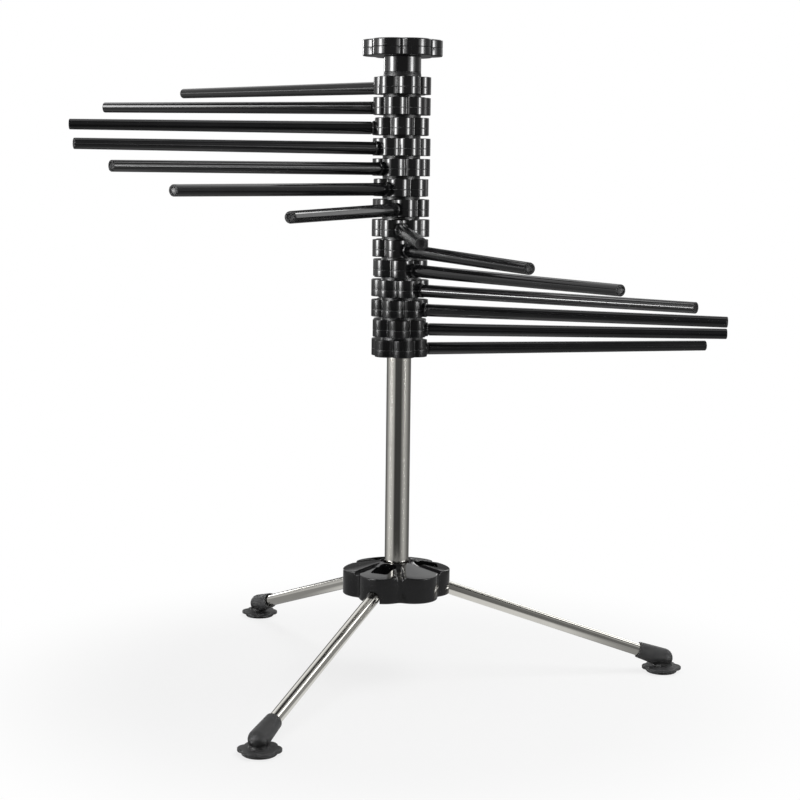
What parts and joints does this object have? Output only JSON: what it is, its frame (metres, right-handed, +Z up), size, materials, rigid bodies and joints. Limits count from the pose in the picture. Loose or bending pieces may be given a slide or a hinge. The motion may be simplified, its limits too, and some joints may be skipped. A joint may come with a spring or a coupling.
{
  "type": "kitchen drying rack",
  "caption": "Kitchen drying rack: a folding tripod and a steel pole carry a stack of turning lobed rings, each with one slim arm, clamped by a lobed knob.",
  "frame": {"origin": "the middle of the footprint box, on the surface under the feet; the pole stands 25.5 mm behind it", "axes": "+X to the right and +Y away from the camera in the picture, +Z up along the pole"},
  "size_m": [0.4272, 0.3758, 0.4203],
  "materials": {
    "black_plastic": "glossy black moulding",
    "hub_plastic": "satin black moulding",
    "foot_rubber": "matt dark grey rubber",
    "polished_steel": "polished stainless tube",
    "zinc_steel": "plain zinc plating",
    "nylon": "plain black nylon"
  },
  "bodies": {
    "stand": {"pole_tube": "polished_steel", "pole_top_insert": "nylon", "pole_bottom_insert": "nylon", "stack_retainer": "zinc_steel", "hub_body": "hub_plastic", "hub_cover": "hub_plastic", "hub_washer": "zinc_steel", "hub_screw": "zinc_steel", "leg_pin_1": "zinc_steel", "leg_pin_2": "zinc_steel", "leg_pin_3": "zinc_steel"},
    "leg_1": {"leg_tube_1": "polished_steel", "leg_knuckle_1": "nylon", "foot_boot_1": "foot_rubber"},
    "leg_2": {"leg_tube_2": "polished_steel", "leg_knuckle_2": "nylon", "foot_boot_2": "foot_rubber"},
    "leg_3": {"leg_tube_3": "polished_steel", "leg_knuckle_3": "nylon", "foot_boot_3": "foot_rubber"},
    "arm_01": {"arm_ring_01": "black_plastic", "arm_rod_01": "black_plastic"},
    "arm_02": {"arm_ring_02": "black_plastic", "arm_rod_02": "black_plastic"},
    "arm_03": {"arm_ring_03": "black_plastic", "arm_rod_03": "black_plastic"},
    "arm_04": {"arm_ring_04": "black_plastic", "arm_rod_04": "black_plastic"},
    "arm_05": {"arm_ring_05": "black_plastic", "arm_rod_05": "black_plastic"},
    "arm_06": {"arm_ring_06": "black_plastic", "arm_rod_06": "black_plastic"},
    "arm_07": {"arm_ring_07": "black_plastic", "arm_rod_07": "black_plastic"},
    "arm_08": {"arm_ring_08": "black_plastic", "arm_rod_08": "black_plastic"},
    "arm_09": {"arm_ring_09": "black_plastic", "arm_rod_09": "black_plastic"},
    "arm_10": {"arm_ring_10": "black_plastic", "arm_rod_10": "black_plastic"},
    "arm_11": {"arm_ring_11": "black_plastic", "arm_rod_11": "black_plastic"},
    "arm_12": {"arm_ring_12": "black_plastic", "arm_rod_12": "black_plastic"},
    "arm_13": {"arm_ring_13": "black_plastic", "arm_rod_13": "black_plastic"},
    "arm_14": {"arm_ring_14": "black_plastic", "arm_rod_14": "black_plastic"},
    "clamp": {"clamp_washer": "nylon"},
    "knob": {"knob": "black_plastic", "knob_stud": "zinc_steel"}
  },
  "joints": [
    {"name": "leg_1_fold", "type": "hinge", "parent": "stand", "child": "leg_1", "pos_m": [0.01744, 0.02691, 0.0655], "axis": [-0.0802, 0.9968, 0], "range_deg": [0, 68]},
    {"name": "leg_2_fold", "type": "hinge", "parent": "stand", "child": "leg_2", "pos_m": [-0.00994, 0.03991, 0.0655], "axis": [-0.8231, -0.5678, 0], "range_deg": [0, 68]},
    {"name": "leg_3_fold", "type": "hinge", "parent": "stand", "child": "leg_3", "pos_m": [-0.00751, 0.0097, 0.0655], "axis": [0.9033, -0.4289, 0], "range_deg": [0, 68]},
    {"name": "arm_01_turn", "type": "hinge", "parent": "stand", "child": "arm_01", "pos_m": [0, 0.02551, 0.3], "axis": [0, 0, 1], "continuous": true},
    {"name": "arm_02_turn", "type": "hinge", "parent": "stand", "child": "arm_02", "pos_m": [0, 0.02551, 0.3], "axis": [0, 0, 1], "continuous": true},
    {"name": "arm_03_turn", "type": "hinge", "parent": "stand", "child": "arm_03", "pos_m": [0, 0.02551, 0.3], "axis": [0, 0, 1], "continuous": true},
    {"name": "arm_04_turn", "type": "hinge", "parent": "stand", "child": "arm_04", "pos_m": [0, 0.02551, 0.3], "axis": [0, 0, 1], "continuous": true},
    {"name": "arm_05_turn", "type": "hinge", "parent": "stand", "child": "arm_05", "pos_m": [0, 0.02551, 0.3], "axis": [0, 0, 1], "continuous": true},
    {"name": "arm_06_turn", "type": "hinge", "parent": "stand", "child": "arm_06", "pos_m": [0, 0.02551, 0.3], "axis": [0, 0, 1], "continuous": true},
    {"name": "arm_07_turn", "type": "hinge", "parent": "stand", "child": "arm_07", "pos_m": [0, 0.02551, 0.3], "axis": [0, 0, 1], "continuous": true},
    {"name": "arm_08_turn", "type": "hinge", "parent": "stand", "child": "arm_08", "pos_m": [0, 0.02551, 0.3], "axis": [0, 0, 1], "continuous": true},
    {"name": "arm_09_turn", "type": "hinge", "parent": "stand", "child": "arm_09", "pos_m": [0, 0.02551, 0.3], "axis": [0, 0, 1], "continuous": true},
    {"name": "arm_10_turn", "type": "hinge", "parent": "stand", "child": "arm_10", "pos_m": [0, 0.02551, 0.3], "axis": [0, 0, 1], "continuous": true},
    {"name": "arm_11_turn", "type": "hinge", "parent": "stand", "child": "arm_11", "pos_m": [0, 0.02551, 0.3], "axis": [0, 0, 1], "continuous": true},
    {"name": "arm_12_turn", "type": "hinge", "parent": "stand", "child": "arm_12", "pos_m": [0, 0.02551, 0.3], "axis": [0, 0, 1], "continuous": true},
    {"name": "arm_13_turn", "type": "hinge", "parent": "stand", "child": "arm_13", "pos_m": [0, 0.02551, 0.3], "axis": [0, 0, 1], "continuous": true},
    {"name": "arm_14_turn", "type": "hinge", "parent": "stand", "child": "arm_14", "pos_m": [0, 0.02551, 0.3], "axis": [0, 0, 1], "continuous": true},
    {"name": "clamp_lift", "type": "slide", "parent": "stand", "child": "clamp", "axis": [0, 0, 1], "range_m": [0, 0.001]},
    {"name": "knob_turn", "type": "hinge", "parent": "clamp", "child": "knob", "pos_m": [0, 0.02551, 0.414], "axis": [0, 0, 1], "range_deg": [0, 360]}
  ],
  "couplings": [
    {"joint": "clamp_lift", "follows": "knob_turn", "m_per_rad": 0.00015915}
  ]
}
